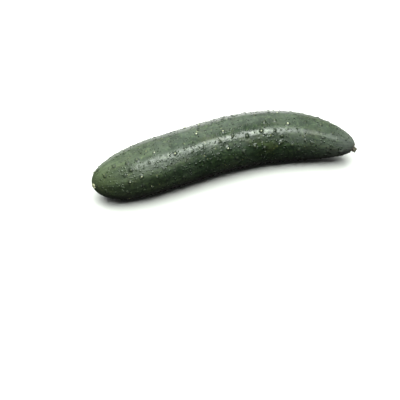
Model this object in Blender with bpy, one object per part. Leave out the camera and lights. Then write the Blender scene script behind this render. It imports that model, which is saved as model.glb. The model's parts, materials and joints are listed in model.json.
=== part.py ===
"""Slicing cucumber, picked and lying on its side.

Run with: blender --background --python part.py

The blossom end points to -X, the stem end to +X and the bulging side of the bend to +Y. The fruit rests on a narrow
flat strip at z = 0, and the origin is under the middle of its box. All values are in metres.
"""

import math
import random

import bmesh
import bpy
from mathutils import Matrix, Vector

# Fruit: its bend and its outline
CHORD = 0.232
BEND = 0.0254  # how far the axis stands off the chord where it bows most, two thirds of the way to the stem
RADIUS = 0.0234
BLOSSOM_SHARE = 0.316
STEM_SHARE = 0.495
ROUNDING_POWER = 3.0
DROOP_LIMIT = 0.0036
REST_DEPTH = 0.0003  # how much of the underside the flat resting strip takes off
LOBES = 3
LOBE_SHARE = 0.012
RIBS = 9
RIB_SHARE = 0.007
RIB_TWIST = 0.35
SEGMENTS = 36
RINGS = 52

# Tubercles: low warts in rows along the fruit
TUBERCLE_ROWS = 14
TUBERCLE_STEP = 0.0128
TUBERCLE_JITTER = 0.34
TUBERCLE_SKIP = 0.10
TUBERCLE_RADIUS = (0.0013, 0.0021)
TUBERCLE_HEIGHT = (0.00040, 0.00085)
TUBERCLE_TOP_SHARE = 0.42
TUBERCLE_ROOT = 0.0008
TUBERCLE_SIDES = 6
TUBERCLE_SPAN = (0.012, 0.985)
TUBERCLE_SMALLNESS = 1.5  # above 1, small tubercles outnumber large ones
TUBERCLE_FLOOR_CLEARANCE = 0.0012
SEED = 11

# Blossom scar: a corky button on the rounded tip, a little to the hollow side of the bend
SCAR_SHARE = 0.0048
SCAR_ANGLE = math.radians(175.0)
SCAR_RADIUS = 0.0022
SCAR_HEIGHT = 0.0005
SCAR_DIMPLE_RADIUS = 0.0011
SCAR_DIMPLE_DEPTH = 0.0004
SCAR_ROOT = 0.0018
SCAR_SIDES = 10

# Stem stub: the dried end of the stalk in its hollow, a little below the axis
STUB_SHARE = 0.9985
STUB_ANGLE = math.radians(252.0)
STUB_RADIUS = 0.0027
STUB_NECK_RADIUS = 0.0023
STUB_PROUD = 0.0024
STUB_DEPTH = 0.0016
STUB_RIDGES = 5
STUB_RIDGE_SHARE = 0.12
STUB_CHAMFER = 0.0005
GAP = 0.0003
SOCKET_MOUTH = 0.0046
SOCKET_FLOOR = 0.0034
CUTTER_MARGIN = 0.02
SHARP_ANGLE = math.radians(38.0)

# Where the middle of the finished box lies before the model is centred
BOX_MIDDLE = (0.00096, 0.0153)

SKIN_GREEN = (0.030, 0.068, 0.024, 1.0)
STUB_BROWN = (0.180, 0.150, 0.080, 1.0)


def clear_scene():
    for obj in list(bpy.data.objects):
        bpy.data.objects.remove(obj, do_unlink=True)


def new_collection(name, parent):
    collection = bpy.data.collections.new(name)
    parent.children.link(collection)
    return collection


def principled(name, colour, roughness):
    material = bpy.data.materials.new(name)
    material.use_nodes = True
    shader = material.node_tree.nodes["Principled BSDF"]
    shader.inputs["Base Color"].default_value = colour
    shader.inputs["Roughness"].default_value = roughness
    shader.inputs["Metallic"].default_value = 0.0
    return material


def end_rounding(share, reach):
    """Radius factor that rises from 0 at an end to 1 at the given share of the length."""
    left = max(0.0, 1.0 - share / reach)
    return math.sqrt(max(0.0, 1.0 - left**ROUNDING_POWER))


def radius_at(t):
    """Mean radius at share t of the chord, from the blossom tip at 0 to the stem tip at 1."""
    return RADIUS * end_rounding(t, BLOSSOM_SHARE) * end_rounding(1.0 - t, STEM_SHARE)


def section_radius(t, angle):
    """Radius of the bare skin, with its three soft lobes and its faint ribs."""
    lobes = LOBE_SHARE * math.cos(LOBES * (angle - math.pi / 2.0))
    ribs = RIB_SHARE * math.cos(RIBS * angle + RIB_TWIST * math.sin(2.0 * math.pi * t))
    return radius_at(t) * (1.0 + lobes + ribs)


def centre_at(t):
    """Point of the fruit's bent axis. Its ends sink a little, so that the underside stays along the floor."""
    shortfall = RADIUS - radius_at(t)
    lift = shortfall - DROOP_LIMIT * (1.0 - math.exp(-shortfall / DROOP_LIMIT))
    bow = t**2 * (1.0 - t)
    deepest_bow = (2.0 / 3.0) ** 2 / 3.0
    return Vector((
        (t - 0.5) * CHORD - BOX_MIDDLE[0],
        BEND * bow / deepest_bow - BOX_MIDDLE[1],
        section_radius(t, -math.pi / 2.0) - REST_DEPTH + lift,
    ))


def axis_at(t):
    """Direction of the bent axis in plan at share t, towards the stem end."""
    step = 1e-4
    ahead = centre_at(min(1.0, t + step)) - centre_at(max(0.0, t - step))
    return Vector((ahead.x, ahead.y, 0.0)).normalized()


def skin_point(t, angle):
    """Point of the bare skin. The angle runs round the axis from the bulging side over the top."""
    radius = section_radius(t, angle)
    axis = axis_at(t)
    side = Vector((-axis.y, axis.x, 0.0))
    up = Vector((0.0, 0.0, 1.0))
    return centre_at(t) + radius * (side * math.cos(angle) + up * math.sin(angle))


def skin_normal(t, angle):
    step = 1e-3
    along = skin_point(min(1.0, t + step), angle) - skin_point(max(0.0, t - step), angle)
    around = skin_point(t, angle + step) - skin_point(t, angle - step)
    return around.cross(along).normalized()


def mesh_object(name, shape, collection, material):
    mesh = bpy.data.meshes.new(name)
    shape.to_mesh(mesh)
    shape.free()
    mesh.shade_smooth()
    if material:
        mesh.materials.append(material)
    obj = bpy.data.objects.new(name, mesh)
    collection.objects.link(obj)
    return obj


def bare_fruit(collection, material):
    """A sphere whose every point is moved on to the skin formula."""
    shape = bmesh.new()
    bmesh.ops.create_uvsphere(shape, u_segments=SEGMENTS, v_segments=RINGS, radius=1.0)
    for vertex in shape.verts:
        t = 0.5 * (1.0 + max(-1.0, min(1.0, vertex.co.z)))
        angle = math.atan2(vertex.co.y, vertex.co.x)
        vertex.co = skin_point(t, angle)
    bmesh.ops.recalc_face_normals(shape, faces=shape.faces)
    return mesh_object("cucumber_fruit", shape, collection, material)


def outward_frame(point, outward):
    """Matrix with its origin at a point and its Z along a direction."""
    return Matrix.Translation(point) @ outward.to_track_quat("Z", "Y").to_matrix().to_4x4()


def skin_frame(t, angle):
    return outward_frame(skin_point(t, angle), skin_normal(t, angle))


def tubercle(number, t, angle, size, collection):
    """A low six-sided wart whose root is sunk in the skin."""
    radius = TUBERCLE_RADIUS[0] + size * (TUBERCLE_RADIUS[1] - TUBERCLE_RADIUS[0])
    height = TUBERCLE_HEIGHT[0] + size * (TUBERCLE_HEIGHT[1] - TUBERCLE_HEIGHT[0])
    lift = Matrix.Translation((0.0, 0.0, (height - TUBERCLE_ROOT) / 2.0))
    turn = Matrix.Rotation(angle * TUBERCLE_SIDES, 4, "Z")
    spread = radius * (1.0 - TUBERCLE_TOP_SHARE) / height
    shape = bmesh.new()
    bmesh.ops.create_cone(
        shape,
        cap_ends=True,
        segments=TUBERCLE_SIDES,
        radius1=radius + spread * TUBERCLE_ROOT,
        radius2=radius * TUBERCLE_TOP_SHARE,
        depth=height + TUBERCLE_ROOT,
        matrix=skin_frame(t, angle) @ lift @ turn,
    )
    mesh_object(f"tubercle_{number:03d}", shape, collection, None)


def tubercle_places():
    """Shares of the length, angles and sizes of the tubercles, in rows with a seeded jitter."""
    draw = random.Random(SEED)
    places = []
    steps = round(CHORD / TUBERCLE_STEP)
    for row in range(TUBERCLE_ROWS):
        for step in range(steps):
            along = step + 0.5 * (row % 2) + draw.uniform(-TUBERCLE_JITTER, TUBERCLE_JITTER)
            t = TUBERCLE_SPAN[0] + (TUBERCLE_SPAN[1] - TUBERCLE_SPAN[0]) * along / steps
            angle = (row + draw.uniform(-TUBERCLE_JITTER, TUBERCLE_JITTER)) * 2.0 * math.pi / TUBERCLE_ROWS
            size = draw.random() ** TUBERCLE_SMALLNESS
            keep = draw.random()
            narrowing = radius_at(min(1.0, max(0.0, t))) / RADIUS
            if not TUBERCLE_SPAN[0] < t < TUBERCLE_SPAN[1] or keep < TUBERCLE_SKIP + (1.0 - narrowing) ** 2:
                continue
            if skin_point(t, angle).z > TUBERCLE_FLOOR_CLEARANCE:
                places.append((t, angle, size))
    return places


def add_tubercles(collection):
    for number, (t, angle, size) in enumerate(tubercle_places()):
        tubercle(number, t, angle, size, collection)


def add_blossom_scar(collection):
    shape = bmesh.new()
    bmesh.ops.create_cone(
        shape,
        cap_ends=True,
        segments=SCAR_SIDES,
        radius1=SCAR_RADIUS * 1.25,
        radius2=SCAR_RADIUS,
        depth=SCAR_HEIGHT + SCAR_ROOT,
    )
    top = max(shape.faces, key=lambda face: face.calc_center_median().z)
    bmesh.ops.inset_region(shape, faces=[top], thickness=SCAR_RADIUS - SCAR_DIMPLE_RADIUS)
    bmesh.ops.translate(shape, verts=top.verts, vec=(0.0, 0.0, -SCAR_DIMPLE_DEPTH))
    lift = Matrix.Translation((0.0, 0.0, (SCAR_HEIGHT - SCAR_ROOT) / 2.0))
    bmesh.ops.transform(shape, verts=shape.verts, matrix=skin_frame(SCAR_SHARE, SCAR_ANGLE) @ lift)
    mesh_object("blossom_scar", shape, collection, None)


def add_floor_cutter(collection):
    """The block below z = 0 that trims the resting strip flat."""
    shape = bmesh.new()
    bmesh.ops.create_cube(shape, size=1.0)
    length = CHORD + 2.0 * CUTTER_MARGIN
    width = BEND + 2.0 * RADIUS + 2.0 * CUTTER_MARGIN
    bmesh.ops.scale(shape, verts=shape.verts, vec=(length, width, CUTTER_MARGIN))
    bmesh.ops.translate(shape, verts=shape.verts, vec=(0.0, 0.0, -CUTTER_MARGIN / 2.0))
    mesh_object("floor_cutter", shape, collection, None)


def add_socket_cutter(collection):
    """The round hollow in the stem end that the stub sits in."""
    shape = bmesh.new()
    reach = STUB_PROUD
    bmesh.ops.create_cone(
        shape,
        cap_ends=True,
        segments=2 * STUB_RIDGES,
        radius1=SOCKET_FLOOR,
        radius2=SOCKET_MOUTH,
        depth=STUB_DEPTH + reach,
    )
    lift = Matrix.Translation((0.0, 0.0, (reach - STUB_DEPTH) / 2.0))
    bmesh.ops.transform(shape, verts=shape.verts, matrix=skin_frame(STUB_SHARE, STUB_ANGLE) @ lift)
    mesh_object("socket_cutter", shape, collection, None)


def apply_boolean(obj, collection, operation):
    """Joins or cuts with every object of a collection at once, then removes those objects."""
    modifier = obj.modifiers.new(collection.name, "BOOLEAN")
    modifier.operation = operation
    modifier.operand_type = "COLLECTION"
    modifier.collection = collection
    modifier.solver = "EXACT"
    bpy.context.view_layer.update()
    graph = bpy.context.evaluated_depsgraph_get()
    joined = bpy.data.meshes.new_from_object(obj.evaluated_get(graph))
    plain = obj.data
    obj.modifiers.clear()
    obj.data = joined
    bpy.data.meshes.remove(plain)
    joined.name = obj.name
    for helper in list(collection.objects):
        bpy.data.objects.remove(helper, do_unlink=True)


def add_stem_stub(collection, material):
    """A short ridged stalk end, narrow in the hollow, with a chamfered cut face."""
    shape = bmesh.new()
    low = GAP - STUB_DEPTH
    bmesh.ops.create_cone(
        shape,
        cap_ends=True,
        segments=4 * STUB_RIDGES,
        radius1=STUB_RADIUS,
        radius2=STUB_NECK_RADIUS,
        depth=STUB_PROUD - low,
    )
    for vertex in shape.verts:
        angle = math.atan2(vertex.co.y, vertex.co.x)
        ridge = 1.0 + STUB_RIDGE_SHARE * (math.cos(STUB_RIDGES * angle) - 1.0)
        vertex.co.x *= ridge
        vertex.co.y *= ridge
    top = max(shape.faces, key=lambda face: face.calc_center_median().z)
    bmesh.ops.bevel(shape, geom=list(top.edges), offset=STUB_CHAMFER, segments=1, affect="EDGES")
    lift = Matrix.Translation((0.0, 0.0, (STUB_PROUD + low) / 2.0))
    bmesh.ops.transform(shape, verts=shape.verts, matrix=skin_frame(STUB_SHARE, STUB_ANGLE) @ lift)
    mesh_object("stem_stub", shape, collection, material)


def build():
    clear_scene()
    root = bpy.context.scene.collection
    cucumber = new_collection("cucumber", root)
    growths = new_collection("growths", root)
    cutters = new_collection("cutters", root)
    fruit = bare_fruit(cucumber, principled("cucumber_skin", SKIN_GREEN, 0.42))
    add_tubercles(growths)
    add_blossom_scar(growths)
    apply_boolean(fruit, growths, "UNION")
    add_floor_cutter(cutters)
    add_socket_cutter(cutters)
    apply_boolean(fruit, cutters, "DIFFERENCE")
    fruit.data.shade_smooth()
    fruit.data.set_sharp_from_angle(angle=SHARP_ANGLE)
    add_stem_stub(cucumber, principled("dried_stalk", STUB_BROWN, 0.85))


build()
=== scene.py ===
"""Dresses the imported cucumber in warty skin, a corky blossom scar and a dried stalk, in a pale studio.

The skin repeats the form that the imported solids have, from the same driving dimensions and the same seeded
draw of tubercles, on a mesh fine enough to carry the small relief. All values are in metres, in the frame of
the solids: the blossom end points to -X, the stem end to +X and the bulging side of the bend to +Y. A value
t is a share of the chord, from the blossom tip to the stem tip, and an angle on the fruit goes round its
axis from the bulging side over the top.
"""

import json
import logging
import math
import random
from dataclasses import dataclass
from enum import Enum

import bpy
import numpy as np
from mathutils import Color, Matrix, Vector, noise
from mathutils.kdtree import KDTree
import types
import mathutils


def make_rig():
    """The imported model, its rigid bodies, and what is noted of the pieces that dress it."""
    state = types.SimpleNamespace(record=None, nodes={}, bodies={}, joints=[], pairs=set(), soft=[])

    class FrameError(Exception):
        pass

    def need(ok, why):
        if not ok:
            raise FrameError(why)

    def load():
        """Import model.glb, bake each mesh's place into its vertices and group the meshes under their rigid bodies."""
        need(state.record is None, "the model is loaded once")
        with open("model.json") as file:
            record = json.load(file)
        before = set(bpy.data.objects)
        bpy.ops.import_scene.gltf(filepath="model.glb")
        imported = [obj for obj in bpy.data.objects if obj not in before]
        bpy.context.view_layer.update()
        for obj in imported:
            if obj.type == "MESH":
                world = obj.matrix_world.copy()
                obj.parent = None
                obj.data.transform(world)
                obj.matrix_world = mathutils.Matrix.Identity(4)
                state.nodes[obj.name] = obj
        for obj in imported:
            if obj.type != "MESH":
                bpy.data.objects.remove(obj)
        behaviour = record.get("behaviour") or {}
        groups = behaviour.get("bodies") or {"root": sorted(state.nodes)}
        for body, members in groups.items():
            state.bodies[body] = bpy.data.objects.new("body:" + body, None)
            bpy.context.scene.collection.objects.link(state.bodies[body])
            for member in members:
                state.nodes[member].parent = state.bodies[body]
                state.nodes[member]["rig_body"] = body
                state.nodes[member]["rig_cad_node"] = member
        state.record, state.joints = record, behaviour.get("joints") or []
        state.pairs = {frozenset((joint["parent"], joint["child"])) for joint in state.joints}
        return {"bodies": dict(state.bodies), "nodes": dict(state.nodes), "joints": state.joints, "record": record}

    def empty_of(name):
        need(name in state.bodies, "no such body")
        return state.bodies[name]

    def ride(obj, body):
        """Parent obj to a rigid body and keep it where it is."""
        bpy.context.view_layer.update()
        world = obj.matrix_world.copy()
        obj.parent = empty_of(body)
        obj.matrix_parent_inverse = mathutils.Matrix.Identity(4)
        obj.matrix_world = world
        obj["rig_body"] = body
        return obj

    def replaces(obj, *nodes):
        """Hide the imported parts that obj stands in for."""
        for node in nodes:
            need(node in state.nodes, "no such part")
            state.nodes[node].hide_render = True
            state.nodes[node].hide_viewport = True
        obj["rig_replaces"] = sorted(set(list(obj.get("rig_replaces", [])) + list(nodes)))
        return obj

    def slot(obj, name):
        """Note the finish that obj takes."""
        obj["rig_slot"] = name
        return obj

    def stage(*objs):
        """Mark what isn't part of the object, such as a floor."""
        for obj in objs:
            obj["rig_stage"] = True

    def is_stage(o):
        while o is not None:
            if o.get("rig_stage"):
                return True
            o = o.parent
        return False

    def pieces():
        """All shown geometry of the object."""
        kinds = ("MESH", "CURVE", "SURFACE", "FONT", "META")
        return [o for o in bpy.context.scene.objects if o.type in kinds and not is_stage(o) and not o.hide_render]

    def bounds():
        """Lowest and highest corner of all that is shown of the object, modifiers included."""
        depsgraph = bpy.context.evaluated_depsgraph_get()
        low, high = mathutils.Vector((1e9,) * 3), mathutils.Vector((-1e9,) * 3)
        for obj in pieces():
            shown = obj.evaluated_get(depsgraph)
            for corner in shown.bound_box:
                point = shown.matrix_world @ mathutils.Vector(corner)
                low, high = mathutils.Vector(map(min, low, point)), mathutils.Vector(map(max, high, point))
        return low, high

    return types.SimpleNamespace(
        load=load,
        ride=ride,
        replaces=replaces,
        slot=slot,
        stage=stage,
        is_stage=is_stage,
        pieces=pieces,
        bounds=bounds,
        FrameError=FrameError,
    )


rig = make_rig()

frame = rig.load()
CAD_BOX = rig.bounds()

SIZE_FILE = "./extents.json"
ROOT_BODY = "root"
QUARTER_TURN = math.pi / 2.0
FULL_TURN = 2.0 * math.pi
CHIP_WHITE = 255.0
Colour = tuple[float, float, float, float]
Pair = tuple[float, float]
Triple = tuple[float, float, float]
Values = np.ndarray
Socket = bpy.types.NodeSocket
Tree = bpy.types.NodeTree
Material = bpy.types.Material
Mesh = bpy.types.Mesh
Piece = bpy.types.Object
Feed = Socket | float | Vector | tuple[float, ...]
log = logging.getLogger("cucumber")


class Slot(Enum):
    """Material slots of the record."""

    SKIN = "skin"
    STALK = "stalk"


class Channel(Enum):
    """Point attributes that the materials read."""

    UNROLLED = "unrolled"
    SHARE = "length_share"
    WART = "wart"
    PALE = "pale"


class Operation(Enum):
    """Ways to put two values of a material together."""

    ADD = "ADD"
    SUBTRACT = "SUBTRACT"
    MULTIPLY = "MULTIPLY"


class Quartering(Enum):
    """Ways to place the new points when faces are quartered."""

    ROUNDED = "CATMULL_CLARK"
    FLAT = "SIMPLE"


def paint(red: int, green: int, blue: int) -> Colour:
    """Linear colour, with an alpha of 1, of a paint chip's 0 to 255 values."""
    chip = Color([value / CHIP_WHITE for value in (red, green, blue)])
    return (*chip.from_srgb_to_scene_linear(), 1.0)


def smooth(values: Values) -> Values:
    """Eases values from 0 to 1 with level ends."""
    held = np.clip(values, 0.0, 1.0)
    return held * held * (3.0 - 2.0 * held)


def between(ends: Pair, share: float) -> float:
    """Value at a share of the way from the first end to the second."""
    return ends[0] + share * (ends[1] - ends[0])


def polar(points: Values) -> tuple[Values, Values]:
    """Angles of points round Z, and their distances from it."""
    return np.arctan2(points[:, 1], points[:, 0]), np.hypot(points[:, 0], points[:, 1])


@dataclass(frozen=True)
class FruitForm:
    """Form of the bare fruit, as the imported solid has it."""

    chord: float = 0.232
    bend: float = 0.0254
    deepest_bow: float = (2.0 / 3.0) ** 2 / 3.0
    radius: float = 0.0234
    blossom_share: float = 0.316
    stem_share: float = 0.495
    rounding_power: float = 3.0
    droop_limit: float = 0.0036
    rest_depth: float = 0.0003
    lobes: int = 3
    lobe_share: float = 0.012
    ribs: int = 9
    rib_share: float = 0.007
    rib_twist: float = 0.35
    box_middle: Pair = (0.00096, 0.0153)
    stalk_share: float = 0.9985
    stalk_angle: float = math.radians(252.0)
    axis_step: float = 1e-4
    skin_step: float = 1e-3

    def _rounding(self, share: Values, reach: float) -> Values:
        """Radius factor that rises from 0 at an end to 1 at the given share of the length."""
        left = np.clip(1.0 - share / reach, 0.0, 1.0)
        return np.sqrt(np.clip(1.0 - left**self.rounding_power, 0.0, 1.0))

    def mean_radius(self, t: Values) -> Values:
        """Mean radius at shares of the chord."""
        return self.radius * self._rounding(t, self.blossom_share) * self._rounding(1.0 - t, self.stem_share)

    def narrowing(self, t: Values) -> Values:
        """Mean radius as a share of the greatest one."""
        return self.mean_radius(t) / self.radius

    def section_radius(self, t: Values, angle: Values) -> Values:
        """Radius with the three soft lobes and the faint ribs.

        Args:
            t: Shares of the chord.
            angle: Angles round the axis.

        Returns:
            The radii.
        """
        lobes = self.lobe_share * np.cos(self.lobes * (angle - QUARTER_TURN))
        ribs = self.rib_share * np.cos(self.ribs * angle + self.rib_twist * np.sin(FULL_TURN * t))
        return self.mean_radius(t) * (1.0 + lobes + ribs)

    def axis_point(self, t: Values) -> Values:
        """Points of the bent axis, which droops towards the floor where the fruit is thin.

        Args:
            t: Shares of the chord.

        Returns:
            One point a row.
        """
        shortfall = self.radius - self.mean_radius(t)
        lift = shortfall - self.droop_limit * (1.0 - np.exp(-shortfall / self.droop_limit))
        bow = t**2 * (1.0 - t)
        down = np.full_like(t, -QUARTER_TURN)
        return np.stack(
            (
                (t - 0.5) * self.chord - self.box_middle[0],
                self.bend * bow / self.deepest_bow - self.box_middle[1],
                self.section_radius(t, down) - self.rest_depth + lift,
            ),
            axis=-1,
        )

    def axis_direction(self, t: Values) -> Values:
        """Direction of the bent axis in plan, towards the stem end.

        Args:
            t: Shares of the chord.

        Returns:
            One unit vector a row.
        """
        behind, beyond = np.maximum(0.0, t - self.axis_step), np.minimum(1.0, t + self.axis_step)
        ahead = self.axis_point(beyond) - self.axis_point(behind)
        ahead[..., 2] = 0.0
        return ahead / np.linalg.norm(ahead, axis=-1, keepdims=True)

    def skin(self, t: Values, angle: Values) -> Values:
        """Points of the bare skin.

        Args:
            t: Shares of the chord.
            angle: Angles round the axis.

        Returns:
            One point a row.
        """
        axis = self.axis_direction(t)
        side = np.stack((-axis[..., 1], axis[..., 0], np.zeros_like(t)), axis=-1)
        radius = self.section_radius(t, angle)[..., None]
        swing = side * np.cos(angle)[..., None]
        swing[..., 2] += np.sin(angle)
        return self.axis_point(t) + radius * swing

    def normal(self, t: Values, angle: Values) -> Values:
        """Outward directions of the bare skin.

        Args:
            t: Shares of the chord.
            angle: Angles round the axis.

        Returns:
            One unit vector a row.
        """
        step = self.skin_step
        inner = np.clip(t, step / 2.0, 1.0 - step / 2.0)
        behind, beyond = np.maximum(0.0, inner - step), np.minimum(1.0, inner + step)
        along = self.skin(beyond, angle) - self.skin(behind, angle)
        around = self.skin(inner, angle + step) - self.skin(inner, angle - step)
        outward = np.cross(around, along)
        return outward / np.linalg.norm(outward, axis=-1, keepdims=True)

    def point(self, t: float, angle: float) -> Values:
        """One point of the bare skin."""
        return self.skin(np.array([t]), np.array([angle]))[0]

    def place(self, t: float, angle: float) -> Matrix:
        """Matrix with its origin on the skin and its Z pointing out of it."""
        turn = Vector(self.normal(np.array([t]), np.array([angle]))[0]).to_track_quat("Z", "Y")
        return Matrix.Translation(self.point(t, angle)) @ turn.to_matrix().to_4x4()

    def stalk_place(self) -> Matrix:
        """The place on the skin that the stalk grows from."""
        return self.place(self.stalk_share, self.stalk_angle)


@dataclass(frozen=True)
class Wart:
    """One raised spot of the skin."""

    share: float
    angle: float
    radius: float
    height: float
    pale: bool


@dataclass(frozen=True)
class WartField:
    """The tubercles of the solid, drawn again in the same order, and the small pimples between them."""

    form: FruitForm
    rows: int = 14
    row_offset: float = 0.5
    step: float = 0.0128
    jitter: float = 0.34
    skip: float = 0.10
    radius_range: Pair = (0.0013, 0.0021)
    height_range: Pair = (0.00040, 0.00085)
    smallness: float = 1.5
    span: Pair = (0.012, 0.985)
    floor_clearance: float = 0.0012
    seed: int = 11
    pale_share: float = 0.18
    pimple_count: int = 2300
    pimple_radius: Pair = (0.00045, 0.00110)
    pimple_rise: Pair = (0.25, 0.44)

    def tubercles(self) -> list[Wart]:
        """Draws the large warts, in rows along the fruit.

        Returns:
            The warts.
        """
        draw = random.Random(self.seed)
        shade = random.Random(self.seed + 1)
        found = []
        steps = round(self.form.chord / self.step)
        for row in range(self.rows):
            for place in range(steps):
                along = place + self.row_offset * (row % 2) + draw.uniform(-self.jitter, self.jitter)
                t = self.span[0] + (self.span[1] - self.span[0]) * along / steps
                angle = (row + draw.uniform(-self.jitter, self.jitter)) * FULL_TURN / self.rows
                size = draw.random() ** self.smallness
                thinning = self.skip + (1.0 - self._narrowing(t)) ** 2
                if draw.random() < thinning or not self.span[0] < t < self.span[1]:
                    continue
                if self._height_over_floor(t, angle) > self.floor_clearance:
                    pale = shade.random() < self.pale_share
                    radius = between(self.radius_range, size)
                    found.append(Wart(t, angle, radius, between(self.height_range, size), pale))
        return found

    def pimples(self) -> list[Wart]:
        """Draws small warts that lie scattered evenly over the skin.

        Returns:
            The warts.
        """
        draw = random.Random(self.seed + 2)
        found = []
        while len(found) < self.pimple_count:
            t = draw.uniform(*self.span)
            angle = draw.uniform(0.0, FULL_TURN)
            radius = between(self.pimple_radius, draw.random() ** self.smallness)
            if draw.random() > self._narrowing(t) or self._height_over_floor(t, angle) < self.floor_clearance:
                continue
            found.append(Wart(t, angle, radius, radius * draw.uniform(*self.pimple_rise), False))
        return found

    def _narrowing(self, t: float) -> float:
        """Mean radius of the fruit at one share of the chord, as a share of the greatest one."""
        return float(self.form.narrowing(np.array([t]))[0])

    def _height_over_floor(self, t: float, angle: float) -> float:
        """Height of a place on the skin over the surface that the fruit lies on."""
        return float(self.form.point(t, angle)[2])


@dataclass(frozen=True)
class Grain:
    """Cloudy noise from about 0.3 to 0.7, whose scale along the fruit may be another than across it."""

    scale: float
    detail: float = 3.0
    roughness: float = 0.55
    along: float = 1.0


@dataclass(frozen=True)
class Spots:
    """Distance to the nearest of a scatter of points."""

    scale: float


@dataclass(frozen=True)
class Ramp:
    """Smooth change from one level to another over a range of a pattern."""

    of: "Pattern"
    low: float
    high: float
    to_low: float = 0.0
    to_high: float = 1.0


@dataclass(frozen=True)
class Combined:
    """Patterns put together one after the other, each time kept between 0 and 1."""

    operation: Operation
    parts: tuple["Pattern", ...]


Pattern = Channel | Grain | Spots | Ramp | Combined
Settings = tuple[tuple[str, float], ...]


@dataclass(frozen=True)
class Coat:
    """A colour over those before it, as far as its cover goes from 0 to 1."""

    colour: Colour
    cover: Pattern


@dataclass(frozen=True)
class Relief:
    """A bump too fine to be modelled."""

    of: Pattern
    strength: float
    height: float


Coats = tuple[Coat, ...]
Reliefs = tuple[Relief, ...]


def add_node(tree: Tree, kind: str, *first: Feed, **named: Feed) -> bpy.types.Node:
    """Adds a node to a tree and feeds its inputs, each with a socket to link or a value to set.

    Args:
        tree: The node tree.
        kind: Kind of the node.
        first: What feeds the first inputs.
        named: What feeds inputs by their names, with underscores for spaces.

    Returns:
        The node.
    """
    node = tree.nodes.new("ShaderNode" + kind)
    feeds = dict(enumerate(first)) | {name.replace("_", " "): value for name, value in named.items()}
    for key, value in feeds.items():
        if isinstance(value, Socket):
            tree.links.new(value, node.inputs[key])
        else:
            node.inputs[key].default_value = value
    return node


def add_ramp(tree: Tree, value: Socket, limits: Pair, levels: Pair) -> Socket:
    """Adds a smooth change from one level to another.

    Args:
        tree: The node tree.
        value: The value that it reads.
        limits: Both ends of the range of the value.
        levels: The levels at these ends.

    Returns:
        The level.
    """
    ends = dict(zip(("From_Min", "From_Max", "To_Min", "To_Max"), (*limits, *levels)))
    node = add_node(tree, "MapRange", Value=value, **ends)
    node.interpolation_type = "SMOOTHSTEP"
    return node.outputs["Result"]


class ShaderGraph:
    """A material's node tree, in which each pattern is made once."""

    def __init__(self, name: str, unrolled: bool) -> None:
        """Starts a material with a plain Principled shader.

        Args:
            name: Name of the material.
            unrolled: Whether patterns lie on the unrolled surface, and not on the object's coordinates.
        """
        self.material = bpy.data.materials.new(name)
        self.material.use_nodes = True
        self.tree = self.material.node_tree
        self.shader = self.tree.nodes["Principled BSDF"]
        self.sockets: dict[Pattern, Socket] = {}
        if unrolled:
            self.place = self.socket(Channel.UNROLLED)
        else:
            self.place = add_node(self.tree, "TexCoord").outputs["Object"]

    def link(self, source: Socket | None, name: str) -> None:
        """Links a socket, if there is one, to a socket of the shader."""
        if source is not None:
            self.tree.links.new(source, self.shader.inputs[name])

    def socket(self, pattern: Pattern) -> Socket:
        """Finds the socket that carries a pattern, which is made the first time.

        Args:
            pattern: The pattern.

        Returns:
            The socket.
        """
        if pattern not in self.sockets:
            self.sockets[pattern] = self._made(pattern)
        return self.sockets[pattern]

    def painted(self, base: Colour, coats: Coats) -> Socket:
        """Lays coats of colour over a base colour, one after the other.

        Args:
            base: The base colour.
            coats: The coats.

        Returns:
            The colour.
        """
        under = base
        for coat in coats:
            node = add_node(self.tree, "Mix", Factor=self.socket(coat.cover))
            node.data_type = "RGBA"
            lower, upper = (socket for socket in node.inputs if socket.type == "RGBA")
            upper.default_value = coat.colour
            if under is base:
                lower.default_value = base
            else:
                self.tree.links.new(under, lower)
            under = next(socket for socket in node.outputs if socket.type == "RGBA")
        return under

    def embossed(self, reliefs: Reliefs) -> Socket | None:
        """Lays bumps on each other.

        Args:
            reliefs: The bumps, the lowest one first.

        Returns:
            The surface's direction, if there are bumps.
        """
        normal = None
        for relief in reliefs:
            of = self.socket(relief.of)
            node = add_node(self.tree, "Bump", Height=of, Strength=relief.strength, Distance=relief.height)
            if normal is not None:
                self.tree.links.new(normal, node.inputs["Normal"])
            normal = node.outputs["Normal"]
        return normal

    def _made(self, pattern: Pattern) -> Socket:
        """Makes the nodes of a pattern.

        Args:
            pattern: The pattern.

        Returns:
            The socket that carries it.
        """
        match pattern:
            case Channel():
                node = add_node(self.tree, "Attribute")
                node.attribute_name = pattern.value
                return node.outputs["Vector" if pattern is Channel.UNROLLED else "Fac"]
            case Spots(scale):
                return add_node(self.tree, "TexVoronoi", Vector=self.place, Scale=scale).outputs["Distance"]
            case Ramp(of, low, high, to_low, to_high):
                return add_ramp(self.tree, self.socket(of), (low, high), (to_low, to_high))
            case Grain(scale, detail, roughness, along):
                place = self.place
                if along != 1.0:
                    scales = (1.0, 1.0, along)
                    place = add_node(self.tree, "Mapping", Vector=place, Scale=scales).outputs["Vector"]
                fineness = {"Scale": scale, "Detail": detail, "Roughness": roughness}
                return add_node(self.tree, "TexNoise", Vector=place, **fineness).outputs["Fac"]
            case Combined(operation, parts):
                total, *others = (self.socket(part) for part in parts)
                for other in others:
                    node = add_node(self.tree, "Math", total, other)
                    node.operation = operation.value
                    node.use_clamp = True
                    total = node.outputs["Value"]
                return total


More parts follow.
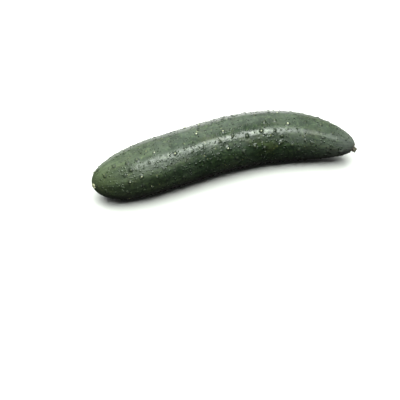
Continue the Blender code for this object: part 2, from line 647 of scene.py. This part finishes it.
@dataclass(frozen=True)
class Finish:
    """Coats over a base colour, roughness, bumps, and settings that are the same all over."""

    name: str
    base: Colour
    coats: Coats
    unrolled: bool = False
    roughness: Pattern | None = None
    reliefs: Reliefs = ()
    settings: Settings = ()

    def build(self) -> Material:
        """Makes the material.

        Returns:
            The material.
        """
        graph = ShaderGraph(self.name, self.unrolled)
        graph.link(graph.painted(self.base, self.coats), "Base Color")
        graph.link(graph.embossed(self.reliefs), "Normal")
        if self.roughness is not None:
            graph.link(graph.socket(self.roughness), "Roughness")
        for name, value in self.settings:
            graph.shader.inputs[name].default_value = value
        return graph.material


@dataclass(frozen=True)
class SkinFinish(Finish):
    """Satin, waxy rind: dark green with paler streaks, fading to yellow-green at the blossom end, with painted shade
    at the feet of the tubercles and on the beads, and a painted grey sheen towards the stem end.
    """

    name: str = "waxy_cucumber_skin"
    unrolled: bool = True
    base: Colour = paint(24, 41, 24)
    mid = paint(40, 60, 35)
    olive = paint(78, 82, 46)
    light = paint(84, 104, 66)
    blossom = paint(113, 127, 88)
    fleck = paint(158, 160, 104)
    # Dark tone of the random blotches, also used as the colour of the painted shade at the tubercle feet and on the
    # beads.
    shade = paint(22, 36, 18)
    # Grey of the wax bloom patches, also used as painted sheen towards the stem end.
    sheen_and_wax_grey = paint(112, 116, 114)
    streaks = Grain(260.0, 4.0, 0.60, along=0.09)
    patches = Grain(55.0, 4.0, 0.60)
    browning = Grain(85.0, 4.0, 0.65, along=0.5)
    blotches = Grain(330.0, 3.0, 0.60)
    pores = Grain(900.0, 3.0, 0.60)
    fibres = Grain(520.0, along=0.16)
    gloss = Grain(140.0, 5.0)
    flecks = Spots(150.0)
    beads = Ramp(Spots(300.0), 0.10, 0.36, 1.0, 0.0)
    tip = Combined(Operation.SUBTRACT, (Channel.SHARE, Ramp(streaks, 0.35, 0.70, 0.0, 0.075)))
    # Painted shade: a darker ring round the foot of each tubercle, where shade falls between the wart and the rind.
    painted_wart_foot_shade = Combined(
        Operation.MULTIPLY,
        (Ramp(Channel.WART, 0.01, 0.12, 0.0, 0.80), Ramp(Channel.WART, 0.40, 0.90, 1.0, 0.2)),
    )
    crown = Combined(
        Operation.MULTIPLY,
        (Ramp(Channel.WART, 0.70, 0.98), Ramp(Channel.PALE, 0.2, 0.8, 0.15, 0.6)),
    )
    # Painted sheen: grey that rises towards the stem end stands in for a grey sheen there; the grey patches over the
    # rind are wax bloom.
    stem_sheen_and_wax_bloom = Combined(
        Operation.ADD,
        (Ramp(Channel.SHARE, 0.90, 1.0, 0.0, 0.42), Ramp(patches, 0.42, 0.70, 0.0, 0.14)),
    )
    # Painted shade: darker colour on the bead domes stands in for their dark look, stronger towards the stem end.
    painted_bead_shade = Combined(Operation.MULTIPLY, (beads, Ramp(Channel.SHARE, 0.05, 0.30, 0.25, 0.60)))
    coats: Coats = (
        Coat(mid, Ramp(patches, 0.36, 0.66)),
        Coat(light, Ramp(streaks, 0.50, 0.68, 0.0, 0.36)),
        Coat(olive, Ramp(browning, 0.50, 0.68, 0.0, 0.36)),
        Coat(light, Ramp(blotches, 0.52, 0.68, 0.0, 0.48)),
        Coat(shade, Ramp(blotches, 0.34, 0.46, 0.55, 0.0)),
        Coat(light, Ramp(pores, 0.52, 0.72, 0.0, 0.25)),
        Coat(blossom, Ramp(tip, -0.03, 0.06, 0.42, 0.0)),
        Coat(blossom, Ramp(tip, 0.06, 0.32, 0.15, 0.0)),
        Coat(fleck, Ramp(flecks, 0.06, 0.14, 0.40, 0.0)),
        # Painted shade at the feet of the tubercles.
        Coat(shade, painted_wart_foot_shade),
        Coat(fleck, crown),
        # Painted grey sheen towards the stem end, and wax bloom patches.
        Coat(sheen_and_wax_grey, stem_sheen_and_wax_bloom),
        # Painted shade on the bead domes.
        Coat(shade, painted_bead_shade),
    )
    roughness: Combined = Combined(
        Operation.ADD,
        (
            Ramp(gloss, 0.34, 0.68, 0.27, 0.40),
            Ramp(Channel.SHARE, 0.68, 0.92, 0.0, 0.42),
            Ramp(Channel.SHARE, 0.12, 0.52, 0.16, 0.0),
            Ramp(Channel.WART, 0.25, 0.60, 0.0, 0.20),
        ),
    )
    reliefs: Reliefs = (
        Relief(pores, 0.30, 0.00025),
        Relief(fibres, 0.35, 0.0004),
        Relief(beads, 0.5, 0.0004),
    )
    settings: Settings = (
        ("Specular IOR Level", 0.5),
        ("IOR", 1.46),
        ("Coat Weight", 0.15),
        ("Coat Roughness", 0.22),
        ("Sheen Weight", 0.12),
        ("Sheen Roughness", 0.35),
    )


@dataclass(frozen=True)
class PimpleFinish(Finish):
    """Smooth taut skin over the pimples, darker and shinier than the rind, and paler at the blossom end."""

    name: str = "taut_pimple_skin"
    base: Colour = paint(24, 38, 20)
    mid = paint(42, 58, 32)
    blossom = paint(80, 94, 66)
    clouds = Grain(420.0)
    pores = Grain(2500.0)
    coats: Coats = (
        Coat(mid, Ramp(clouds, 0.40, 0.62)),
        Coat(blossom, Ramp(Channel.SHARE, 0.08, 0.30, 0.70, 0.0)),
    )
    roughness: Ramp = Ramp(clouds, 0.3, 0.7, 0.18, 0.36)
    reliefs: Reliefs = (Relief(pores, 0.2, 0.0001),)
    settings: Settings = (("Coat Weight", 0.3), ("Coat Roughness", 0.16))


@dataclass(frozen=True)
class SpineTipFinish(Finish):
    """Dry cream tip of a tubercle where its spine broke off."""

    name: str = "dry_cream_tip"
    base: Colour = paint(186, 190, 146)
    cream = paint(226, 230, 204)
    clouds = Grain(1400.0)
    coats: Coats = (Coat(cream, Ramp(clouds, 0.4, 0.62)),)
    roughness: Ramp = Ramp(clouds, 0.3, 0.7, 0.5, 0.75)
    reliefs: Reliefs = (Relief(clouds, 0.3, 0.0002),)


@dataclass(frozen=True)
class CorkFinish(Finish):
    """Corky tissue, cream with tan cracks."""

    name: str = "cork_of_the_blossom_scar"
    base: Colour = paint(206, 212, 160)
    cream = paint(244, 245, 224)
    tan = paint(176, 160, 112)
    clouds = Grain(700.0, 5.0, 0.65)
    cracks = Ramp(Spots(900.0), 0.10, 0.40, 0.0, 0.25)
    coats: Coats = (Coat(cream, Ramp(clouds, 0.38, 0.62)), Coat(tan, cracks))
    roughness: Ramp = Ramp(clouds, 0.3, 0.7, 0.62, 0.85)
    reliefs: Reliefs = (Relief(clouds, 0.5, 0.0004),)


@dataclass(frozen=True)
class StalkFinish(Finish):
    """Dried stalk: grey-brown fibres along its sides, darker at the cut."""

    name: str = "dried_stalk_fibre"
    unrolled: bool = True
    base: Colour = paint(76, 72, 60)
    fibre = paint(106, 100, 84)
    brown = paint(54, 46, 38)
    fibres = Grain(2600.0, 4.0, along=0.08)
    clouds = Grain(700.0, 4.0)
    coats: Coats = (
        Coat(fibre, Ramp(fibres, 0.38, 0.64)),
        Coat(brown, Ramp(clouds, 0.45, 0.7, 0.0, 0.5)),
        Coat(brown, Ramp(Channel.SHARE, 0.72, 1.0, 0.0, 0.75)),
    )
    roughness: Ramp = Ramp(clouds, 0.3, 0.7, 0.7, 0.92)
    reliefs: Reliefs = (Relief(fibres, 0.6, 0.0005),)


@dataclass(frozen=True)
class FloorFinish(Finish):
    """Pale matt studio floor."""

    name: str = "pale_floor"
    base: Colour = paint(238, 238, 236)
    grey = paint(226, 226, 224)
    coats: Coats = (Coat(grey, Ramp(Grain(6.0), 0.3, 0.7, 0.0, 0.05)),)
    settings: Settings = (("Roughness", 0.9), ("Specular IOR Level", 0.2))


def deselect_all() -> None:
    """Leaves object mode with nothing selected."""
    if bpy.context.mode != "OBJECT":
        bpy.ops.object.mode_set(mode="OBJECT")
    bpy.ops.object.select_all(action="DESELECT")


def new_ball(segments: int, rings: int) -> Piece:
    """Adds a ball with a radius of 1.

    Args:
        segments: Number of its segments round Z.
        rings: Number of its rings from pole to pole.

    Returns:
        The ball.
    """
    deselect_all()
    bpy.ops.mesh.primitive_uv_sphere_add(segments=segments, ring_count=rings, radius=1.0)
    return bpy.context.active_object


def new_round(sides: int, radius: float, low: float, high: float) -> Piece:
    """Adds a short round along Z.

    Args:
        sides: Number of its sides.
        radius: Its radius.
        low: Height of its lower face.
        high: Height of its upper face.

    Returns:
        The round.
    """
    deselect_all()
    middle = (0.0, 0.0, (low + high) / 2.0)
    bpy.ops.mesh.primitive_cylinder_add(vertices=sides, radius=radius, depth=high - low, location=middle)
    bpy.ops.object.transform_apply(location=True)
    return bpy.context.active_object


def edit_top_face(piece: Piece) -> None:
    """Enters edit mode with only the highest face selected.

    Args:
        piece: The active object.
    """
    bpy.context.tool_settings.mesh_select_mode = (False, False, True)
    bpy.ops.object.mode_set(mode="EDIT")
    bpy.ops.mesh.select_all(action="DESELECT")
    bpy.ops.object.mode_set(mode="OBJECT")
    max(piece.data.polygons, key=lambda face: face.center.z).select = True
    bpy.ops.object.mode_set(mode="EDIT")


def quarter_faces(piece: Piece, quartering: Quartering) -> None:
    """Splits every face in four.

    Args:
        piece: The active object.
        quartering: How the new points are placed.
    """
    refine = piece.modifiers.new("fine", "SUBSURF")
    refine.subdivision_type = quartering.value
    refine.levels = refine.render_levels = 1
    bpy.ops.object.modifier_apply(modifier=refine.name)


def add_channel(mesh: Mesh, channel: Channel, values: Values) -> None:
    """Stores one value or one vector a point on a mesh.

    Args:
        mesh: The mesh.
        channel: The attribute that it gets.
        values: The values, or the vectors, one a row.
    """
    is_vector = values.ndim > 1
    attribute = mesh.attributes.new(channel.value, "FLOAT_VECTOR" if is_vector else "FLOAT", "POINT")
    attribute.data.foreach_set("vector" if is_vector else "value", values.astype(np.float32).ravel())


def mesh_points(mesh: Mesh) -> Values:
    """Reads the mesh's points.

    Args:
        mesh: The mesh.

    Returns:
        One point a row.
    """
    points = np.empty(len(mesh.vertices) * 3, np.float32)
    mesh.vertices.foreach_get("co", points)
    return points.reshape(-1, 3).astype(float)


def move_points(mesh: Mesh, points: Values) -> None:
    """Gives the mesh's points new places."""
    mesh.vertices.foreach_set("co", points.astype(np.float32).ravel())
    mesh.update()


def spun(draw: random.Random, width: float, stretch: float, height: float) -> Matrix:
    """Size of one copy of a round pattern, longer one way than the other, turned by a drawn angle.

    Args:
        draw: The random draw.
        width: Mean radius.
        stretch: Factor of the longer radius.
        height: Height.

    Returns:
        The matrix.
    """
    turn = Matrix.Rotation(draw.uniform(0.0, FULL_TURN), 4, "Z")
    return turn @ Matrix.Diagonal((width * stretch, width / stretch, height, 1.0))


def scattered(pattern: Piece, places: list[Matrix]) -> Piece:
    """Copies a pattern to each place, every copy with a mesh of its own, and joins the copies.

    Args:
        pattern: The object that is modelled once, which is removed.
        places: Where the copies go, with their turns and sizes.

    Returns:
        The joined copies.
    """
    copies = []
    for place in places:
        copy = pattern.copy()
        copy.data = pattern.data.copy()
        copy.data.transform(place)
        bpy.context.collection.objects.link(copy)
        copies.append(copy)
    deselect_all()
    for copy in copies:
        copy.select_set(True)
    bpy.context.view_layer.objects.active = copies[0]
    bpy.ops.object.join()
    bpy.data.objects.remove(pattern, do_unlink=True)
    return copies[0]


def hand_over(piece: Piece, name: str, finish: Material, slot: Slot) -> Piece:
    """Names a finished piece, dresses it and lets it ride on the body.

    Args:
        piece: The piece, with its place in its mesh.
        name: Its name.
        finish: Its material.
        slot: The record's material slot.

    Returns:
        The piece.
    """
    piece.name = piece.data.name = name
    piece.data.materials.clear()
    piece.data.materials.append(finish)
    deselect_all()
    piece.select_set(True)
    bpy.context.view_layer.objects.active = piece
    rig.ride(piece, ROOT_BODY)
    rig.slot(piece, slot.value)
    deselect_all()
    log.info("%s: %d faces", name, len(piece.data.polygons))
    return piece


@dataclass
class FruitSkin:
    """The whole rind in one fine mesh, with its tubercles, swellings, end furrows and stem hollow."""

    form: FruitForm
    tubercles: list[Wart]
    segments: int = 220
    rings: int = 450
    length_samples: int = 4001
    foot_spread: float = 1.25
    pale_reach: float = 1.6
    swells: tuple[Pair, ...] = ((45.0, 0.00022), (110.0, 0.00014), (330.0, 0.00006))
    furrows: int = 10
    furrow_turn: float = 0.8
    furrow_depth: float = 0.00035
    furrow_span: Pair = (0.84, 0.97)
    hollow_radius: float = 0.0038
    hollow_depth: float = 0.0016
    hollow_edge: float = 0.0009
    hollow_reach: float = 0.006

    def build(self, finish: Material) -> Piece:
        """Models the skin on a round ball whose points are moved onto the fruit.

        Args:
            finish: Material of the skin.

        Returns:
            The finished piece.
        """
        ball = new_ball(self.segments, self.rings)
        points = mesh_points(ball.data)
        t = self._share_of(np.arccos(np.clip(-points[:, 2], -1.0, 1.0)) / math.pi)
        angle, _ = polar(points)
        bare = self.form.skin(t, angle)
        wart, lift, pale = self._relief(bare)
        lift += self._swelling(bare, t) - self._furrow(t, angle)
        skin = self._with_hollow(bare + self.form.normal(t, angle) * lift[:, None])
        skin[:, 2] = np.maximum(skin[:, 2], 0.0)
        move_points(ball.data, skin)
        radius = self.form.radius
        unrolled = np.stack((radius * np.cos(angle), radius * np.sin(angle), t * self.form.chord), axis=-1)
        add_channel(ball.data, Channel.UNROLLED, unrolled)
        add_channel(ball.data, Channel.SHARE, t)
        add_channel(ball.data, Channel.WART, wart)
        add_channel(ball.data, Channel.PALE, pale)
        bpy.ops.object.shade_smooth()
        piece = hand_over(ball, "fruit_skin", finish, Slot.SKIN)
        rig.replaces(piece, "cucumber_fruit")
        return piece

    def _share_of(self, latitude: Values) -> Values:
        """Finds the shares of the chord at which the rings lie evenly spaced along the skin.

        Args:
            latitude: Shares of the way from pole to pole of the ball.

        Returns:
            Shares of the chord.
        """
        t = 0.5 - 0.5 * np.cos(np.linspace(0.0, math.pi, self.length_samples))
        outline = np.stack((t * self.form.chord, self.form.mean_radius(t)), axis=-1)
        run = np.concatenate(([0.0], np.cumsum(np.linalg.norm(np.diff(outline, axis=0), axis=1))))
        return np.interp(latitude, run / run[-1], t)

    def _relief(self, bare: Values) -> tuple[Values, Values, Values]:
        """Raises the warts over the bare skin.

        Args:
            bare: Points of the bare skin.

        Returns:
            Share of its wart's height, height, and 1 where the wart is pale, of each point.
        """
        tree = KDTree(len(bare))
        for index, point in enumerate(bare):
            tree.insert(point, index)
        tree.balance()
        share, height, pale = np.zeros((3, len(bare)))
        for wart in self.tubercles:
            centre = self.form.point(wart.share, wart.angle)
            reach = wart.radius * self.foot_spread
            for _, index, away in tree.find_range(centre, reach * self.pale_reach):
                dome = max(0.0, 1.0 - (away / reach) ** 2) ** 2
                share[index] = max(share[index], dome)
                height[index] = max(height[index], dome * wart.height)
                if wart.pale:
                    pale[index] = 1.0
        return share, height, pale

    def _swelling(self, bare: Values, t: Values) -> Values:
        """Gives the unevenness of a grown thing, broad and fine, which fades out at the tips.

        Args:
            bare: Points of the bare skin.
            t: Shares of the chord.

        Returns:
            The heights.
        """
        height = np.zeros(len(bare))
        for scale, depth in self.swells:
            height += depth * np.array([noise.noise(point) for point in bare * scale])
        return height * self.form.narrowing(t)

    def _furrow(self, t: Values, angle: Values) -> Values:
        """Gives the depth of the soft lengthwise furrows that run together at the stem.

        Args:
            t: Shares of the chord.
            angle: Angles round the axis.

        Returns:
            The depths.
        """
        start, end = self.furrow_span
        depth = self.furrow_depth * smooth((t - start) / (end - start)) * self.form.narrowing(t)
        return depth * (0.5 - 0.5 * np.cos(self.furrows * angle + self.furrow_turn)) ** 2

    def _with_hollow(self, points: Values) -> Values:
        """Presses the hollow for the stalk into the stem end.

        Args:
            points: Points of the skin.

        Returns:
            The points with the hollow.
        """
        place = np.array(self.form.stalk_place())
        outward, tip = place[:3, 2], place[:3, 3]
        along = (points - tip) @ outward
        off_axis = np.linalg.norm(points - tip - along[:, None] * outward, axis=1)
        edge = self.hollow_radius + self.hollow_edge / 2.0
        depth = self.hollow_depth * smooth((edge - off_axis) / self.hollow_edge)
        inside = (along > -self.hollow_reach) & (off_axis < self.hollow_radius)
        pressed = np.where(inside, np.minimum(along, -depth), along)
        return points + (pressed - along)[:, None] * outward


@dataclass
class SkinPimples:
    """Fine shiny pimples all over the rind, one low dome modelled once and copied."""

    form: FruitForm
    warts: list[Wart]
    segments: int = 10
    rings: int = 8
    cut_height: float = 0.02
    sunk: float = 0.00012
    stretch_range: Pair = (0.85, 1.18)

    def build(self, finish: Material) -> Piece:
        """Models one dome, copies it to each place and joins the copies.

        Args:
            finish: Material of the pimples.

        Returns:
            The finished piece.
        """
        dome = new_ball(self.segments, self.rings)
        cut = (0.0, 0.0, self.cut_height)
        bpy.ops.object.mode_set(mode="EDIT")
        bpy.ops.mesh.bisect(plane_co=cut, plane_no=(0.0, 0.0, 1.0), clear_inner=True, use_fill=True)
        bpy.ops.object.mode_set(mode="OBJECT")
        bpy.ops.object.shade_smooth()
        draw = random.Random(len(self.warts))
        sink = Matrix.Translation((0.0, 0.0, -self.sunk))
        places = []
        for wart in self.warts:
            stretch = draw.uniform(*self.stretch_range)
            shape = spun(draw, wart.radius, stretch, wart.height + self.sunk)
            places.append(self.form.place(wart.share, wart.angle) @ sink @ shape)
        piece = scattered(dome, places)
        share = mesh_points(piece.data)[:, 0] / self.form.chord + 0.5
        add_channel(piece.data, Channel.SHARE, share)
        return hand_over(piece, "skin_pimples", finish, Slot.SKIN)


@dataclass
class SpineTips:
    """Small dry tips on the pale tubercles, modelled once and copied."""

    form: FruitForm
    warts: list[Wart]
    segments: int = 12
    rings: int = 8
    width_share: float = 0.36
    flatness: float = 0.55
    sunk_share: float = 0.30
    point_height: float = 0.25
    point_spread: float = 0.06
    size_range: Pair = (0.8, 1.2)
    stretch_range: Pair = (0.85, 1.2)

    def build(self, finish: Material) -> Piece:
        """Models one tip, copies it to each pale wart and joins the copies.

        Args:
            finish: Material of the tips.

        Returns:
            The finished piece.
        """
        pattern = new_ball(self.segments, self.rings)
        bpy.ops.object.mode_set(mode="EDIT")
        bpy.ops.transform.resize(value=(1.0, 1.0, self.flatness))
        bpy.ops.object.mode_set(mode="OBJECT")
        points = mesh_points(pattern.data)
        _, off_axis = polar(points)
        peak = self.point_height * np.exp(-(off_axis**2) / self.point_spread)
        points[:, 2] += peak * (points[:, 2] > 0.0)
        move_points(pattern.data, points)
        bpy.ops.object.shade_smooth()
        draw = random.Random(len(self.warts))
        places = []
        for wart in (wart for wart in self.warts if wart.pale):
            size = wart.radius * self.width_share * draw.uniform(*self.size_range)
            lift = Matrix.Translation((0.0, 0.0, wart.height - size * self.flatness * self.sunk_share))
            shape = spun(draw, size, draw.uniform(*self.stretch_range), size)
            places.append(self.form.place(wart.share, wart.angle) @ lift @ shape)
        return hand_over(scattered(pattern, places), "spine_tips", finish, Slot.SKIN)


@dataclass
class BlossomScar:
    """Corky button where the flower fell off, with a raised rim, a pit and five petal marks."""

    form: FruitForm
    share: float = 0.0048
    angle: float = math.radians(175.0)
    sides: int = 40
    radius: float = 0.0022
    height: float = 0.0005
    root: float = 0.0010
    pit_radius: float = 0.0011
    pit_depth: float = 0.0004
    rings: int = 3
    rim_share: float = 0.35
    rim_segments: int = 3
    petals: int = 5
    petal_share: float = 0.10
    groove_depth: float = 0.00022
    groove_power: int = 8
    ripple_depth: float = 0.00006
    ripples: tuple[Pair, ...] = ((11.0, 2600.0), (7.0, -1900.0))

    def build(self, finish: Material) -> Piece:
        """Models the button from a short round of cork.

        Args:
            finish: Material of the scar.

        Returns:
            The finished piece.
        """
        button = new_round(self.sides, self.radius, -self.root, self.height)
        edit_top_face(button)
        for _ in range(self.rings):
            bpy.ops.mesh.inset(thickness=(self.radius - self.pit_radius) / self.rings)
        bpy.ops.transform.translate(value=(0.0, 0.0, -self.pit_depth))
        for _ in range(self.rings):
            bpy.ops.mesh.inset(thickness=self.pit_radius / (self.rings + 1))
        bpy.ops.object.mode_set(mode="OBJECT")
        bevel = button.modifiers.new("soft_rim", "BEVEL")
        bevel.width = self.height * self.rim_share
        bevel.segments = self.rim_segments
        bpy.ops.object.modifier_apply(modifier=bevel.name)
        quarter_faces(button, Quartering.ROUNDED)
        self._crack(button.data)
        button.data.transform(self.form.place(self.share, self.angle))
        bpy.ops.object.shade_smooth()
        return hand_over(button, "blossom_scar", finish, Slot.SKIN)

    def _crack(self, mesh: Mesh) -> None:
        """Draws the rim out into petal marks and roughens the cork.

        Args:
            mesh: Mesh of the button.
        """
        points = mesh_points(mesh)
        angle, off_axis = polar(points)
        rim = smooth(off_axis / self.radius)
        points[:, :2] *= (1.0 + self.petal_share * rim * np.cos(self.petals * angle))[:, None]
        upper = smooth(points[:, 2] / self.height + 0.5)
        grooves = (0.5 - 0.5 * np.cos(self.petals * angle)) ** self.groove_power
        ripples = [np.sin(turns * angle + waves * off_axis) for turns, waves in self.ripples]
        relief = self.groove_depth * grooves - self.ripple_depth * np.prod(ripples, axis=0)
        points[:, 2] -= upper * rim * relief
        move_points(mesh, points)


@dataclass
class StalkStub:
    """Short ridged end of the stalk, dried and cut across."""

    form: FruitForm
    sides: int = 60
    radius: float = 0.0027
    neck_radius: float = 0.0023
    neck_reach: float = 1.4
    proud: float = 0.0024
    depth: float = 0.0016
    gap: float = 0.0003
    cuts: int = 9
    cut_rings: int = 6
    cut_ring_share: float = 0.125
    ridges: int = 5
    ridge_share: float = 0.12
    edge_share: float = 0.12
    edge_start: float = 0.86
    fibres: int = 17
    fibre_twist: float = 3.0
    fibre_relief: float = 0.00005
    fibre_start: float = 0.97
    cut_start: float = 0.999
    cut_dish: float = 0.00035
    grain_depth: float = 0.00008
    grain_rings: float = 22.0
    grain_rays: float = 9.0

    def build(self, finish: Material) -> Piece:
        """Models the stub from a round that is cut into rings and drawn into ridges.

        Args:
            finish: Material of the stalk.

        Returns:
            The finished piece.
        """
        low = self.gap - self.depth
        length = self.proud - low
        stub = new_round(self.sides, self.radius, low, self.proud)
        bpy.ops.object.mode_set(mode="EDIT")
        for cut in range(1, self.cuts):
            bpy.ops.mesh.select_all(action="SELECT")
            height = low + length * cut / self.cuts
            bpy.ops.mesh.bisect(plane_co=(0.0, 0.0, height), plane_no=(0.0, 0.0, 1.0))
        edit_top_face(stub)
        for _ in range(self.cut_rings):
            bpy.ops.mesh.inset(thickness=self.neck_radius * self.cut_ring_share)
        bpy.ops.object.mode_set(mode="OBJECT")
        quarter_faces(stub, Quartering.FLAT)
        self._draw_out(stub.data, low, length)
        stub.data.transform(self.form.stalk_place())
        bpy.ops.object.shade_smooth()
        piece = hand_over(stub, "stalk_stub", finish, Slot.STALK)
        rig.replaces(piece, "stem_stub")
        return piece

    def _draw_out(self, mesh: Mesh, low: float, length: float) -> None:
        """Shapes the ridges, the neck, the rounded cut edge and the grain of the cut face.

        Args:
            mesh: Mesh of the stub.
            low: Height of its foot.
            length: Its length.
        """
        points = mesh_points(mesh)
        angle, off_axis = polar(points)
        off_axis /= self.radius
        along = (points[:, 2] - low) / length
        ridge = 1.0 + self.ridge_share * (np.cos(self.ridges * angle) - 1.0)
        taper = 1.0 + (self.neck_radius / self.radius - 1.0) * smooth(along * self.neck_reach)
        edge = 1.0 - self.edge_share * smooth((along - self.edge_start) / (1.0 - self.edge_start))
        fibre = self.fibre_relief / self.radius * np.sin(self.fibres * angle + self.fibre_twist * along)
        fibres = 1.0 + fibre * (off_axis > self.fibre_start)
        points[:, :2] *= (ridge * taper * edge * fibres)[:, None]
        dish = self.cut_dish * np.sqrt(np.clip(1.0 - off_axis, 0.0, 1.0))
        grain = self.grain_depth * np.sin(off_axis * self.grain_rings) * np.sin(self.grain_rays * angle)
        points[:, 2] -= (along > self.cut_start) * (dish + grain)
        unrolled = np.stack((points[:, 0], points[:, 1], along * length), axis=-1)
        add_channel(mesh, Channel.UNROLLED, unrolled)
        add_channel(mesh, Channel.SHARE, along)
        move_points(mesh, points)


@dataclass
class HollowRing:
    """Thin corky ring round the hollow that the stalk sits in."""

    form: FruitForm
    skin: Piece
    radius: float = 0.0042
    thickness: float = 0.00042
    segments: int = 72
    sides: int = 12
    wobble: float = 0.00020
    waves: tuple[Triple, ...] = ((1.0, 5.0, 0.4), (0.6, 13.0, 1.9))
    wave_lift: float = 0.3
    tone: float = 0.4
    probe_radius: float = 0.0045
    probe_height: float = 0.006

    def build(self, finish: Material) -> Piece:
        """Models the ring from a torus that is laid on the skin.

        Args:
            finish: Material of the ring.

        Returns:
            The finished piece.
        """
        deselect_all()
        bpy.ops.mesh.primitive_torus_add(
            major_segments=self.segments,
            minor_segments=self.sides,
            major_radius=self.radius,
            minor_radius=self.thickness,
        )
        ring = bpy.context.active_object
        points = mesh_points(ring.data)
        angle, off_axis = polar(points)
        swing = self.wobble * sum(share * np.sin(turns * angle + start) for share, turns, start in self.waves)
        points[:, :2] *= ((off_axis + swing) / off_axis)[:, None]
        points[:, 2] += self._skin_height(angle) + self.wave_lift * swing
        add_channel(ring.data, Channel.UNROLLED, points)
        add_channel(ring.data, Channel.SHARE, np.full(len(points), self.tone))
        move_points(ring.data, points)
        ring.data.transform(self.form.stalk_place())
        bpy.ops.object.shade_smooth()
        return hand_over(ring, "hollow_ring", finish, Slot.STALK)

    def _skin_height(self, angles: Values) -> Values:
        """Finds how high the skin stands just outside the hollow.

        Args:
            angles: Angles round the stalk.

        Returns:
            The heights.
        """
        place = self.form.stalk_place()
        turns = np.linspace(-math.pi, math.pi, self.segments + 1)
        heights = []
        for turn in turns:
            out = Matrix.Rotation(turn, 4, "Z") @ Vector((self.probe_radius, 0.0, self.probe_height))
            _, where, _, _ = self.skin.ray_cast(place @ out, -place.col[2].to_3d())
            heights.append((place.inverted() @ where).z)
        return np.interp(angles, turns, heights)


@dataclass(frozen=True)
class Softbox:
    """A rectangular soft light that faces the fruit."""

    name: str
    place: Triple
    size: Pair
    watts: float
    diffuse: bool = True
    glossy: bool = True

    def build(self, colour: Triple) -> None:
        """Adds the light.

        Args:
            colour: Its colour.
        """
        bpy.ops.object.light_add(type="AREA", location=self.place)
        lamp = bpy.context.active_object
        lamp.name = lamp.data.name = self.name
        lamp.data.shape = "RECTANGLE"
        lamp.data.size, lamp.data.size_y = self.size
        lamp.data.energy = self.watts
        lamp.data.color = colour
        lamp.rotation_euler = (-Vector(self.place)).to_track_quat("-Z", "Y").to_euler()
        lamp.visible_camera = False
        lamp.visible_diffuse = self.diffuse
        lamp.visible_glossy = self.glossy


@dataclass
class Studio:
    """Pale floor, soft lights and the camera at the photograph's angle."""

    azimuth: float = math.radians(-11.12)
    elevation: float = math.radians(45.0)
    distance: float = 1.2
    target: Triple = (-0.02656, -0.0343, 0.0)
    lens: float = 125.4
    floor_size: float = 8.0
    air_strength: Pair = (0.03, 2.1)
    glow_direction: Triple = (0.12, 1.0, -0.16)
    glow_range: Pair = (0.85, 0.97)
    light_colour: Triple = (0.94, 1.0, 0.94)
    softboxes: tuple[Softbox, ...] = (
        Softbox("key_strip", (0.24, -0.70, 1.20), (0.80, 0.54), 33.0, diffuse=False),
        Softbox("top_sheet", (0.0, -0.15, 1.40), (1.9, 1.3), 44.0, glossy=False),
        Softbox("back_sheet", (0.0, 0.95, 1.20), (2.2, 1.3), 24.0),
    )

    def build(self, finish: Material) -> None:
        """Sets the floor, the lights, the air and the camera.

        Args:
            finish: Material of the floor.
        """
        deselect_all()
        bpy.ops.mesh.primitive_plane_add(size=self.floor_size)
        floor = bpy.context.active_object
        floor.name = floor.data.name = "studio_floor"
        floor.data.materials.append(finish)
        floor.visible_glossy = floor.visible_diffuse = False
        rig.stage(floor)
        self._add_air()
        for softbox in self.softboxes:
            softbox.build(self.light_colour)
        self._add_camera()
        bpy.context.scene.view_settings.view_transform = "Standard"

    def _add_air(self) -> None:
        """Surrounds the scene with dim air that is white to the eye and bright low down at the back."""
        world = bpy.data.worlds.new("studio_air")
        world.use_nodes = True
        tree = world.node_tree
        direction = add_node(tree, "TexCoord").outputs["Generated"]
        along = add_node(tree, "VectorMath", direction, Vector(self.glow_direction).normalized())
        along.operation = "DOT_PRODUCT"
        glow = add_ramp(tree, along.outputs["Value"], self.glow_range, self.air_strength)
        seen = add_node(tree, "LightPath").outputs["Is Camera Ray"]
        strength = add_node(tree, "Math", seen, glow)
        strength.operation = "MAXIMUM"
        background = tree.nodes["Background"]
        background.inputs["Color"].default_value = (1.0, 1.0, 1.0, 1.0)
        tree.links.new(strength.outputs["Value"], background.inputs["Strength"])
        bpy.context.scene.world = world

    def _add_camera(self) -> None:
        """Places the camera on its arc round the target."""
        level, rise = math.cos(self.elevation), math.sin(self.elevation)
        back = Vector((math.sin(self.azimuth) * level, -math.cos(self.azimuth) * level, rise))
        bpy.ops.object.camera_add(location=Vector(self.target) + back * self.distance)
        camera = bpy.context.active_object
        camera.rotation_euler = (-back).to_track_quat("-Z", "Y").to_euler()
        camera.data.lens = self.lens
        bpy.context.scene.camera = camera


def main() -> None:
    """Builds the classes in order and writes the two boxes."""
    logging.basicConfig(level=logging.INFO, format="%(name)s %(message)s")
    form = FruitForm()
    warts = WartField(form)
    tubercles = warts.tubercles()
    log.info("%d tubercles", len(tubercles))
    skin = FruitSkin(form, tubercles).build(SkinFinish().build())
    SkinPimples(form, warts.pimples()).build(PimpleFinish().build())
    SpineTips(form, tubercles).build(SpineTipFinish().build())
    BlossomScar(form).build(CorkFinish().build())
    stalk = StalkFinish().build()
    StalkStub(form).build(stalk)
    HollowRing(form, skin).build(stalk)
    Studio().build(FloorFinish().build())
    sizes = {
        "cad": [list(corner) for corner in CAD_BOX],
        "visual": [list(corner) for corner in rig.bounds()],
    }
    with open(SIZE_FILE, "w", encoding="utf-8") as file:
        json.dump(sizes, file)


if __name__ == "__main__":
    main()
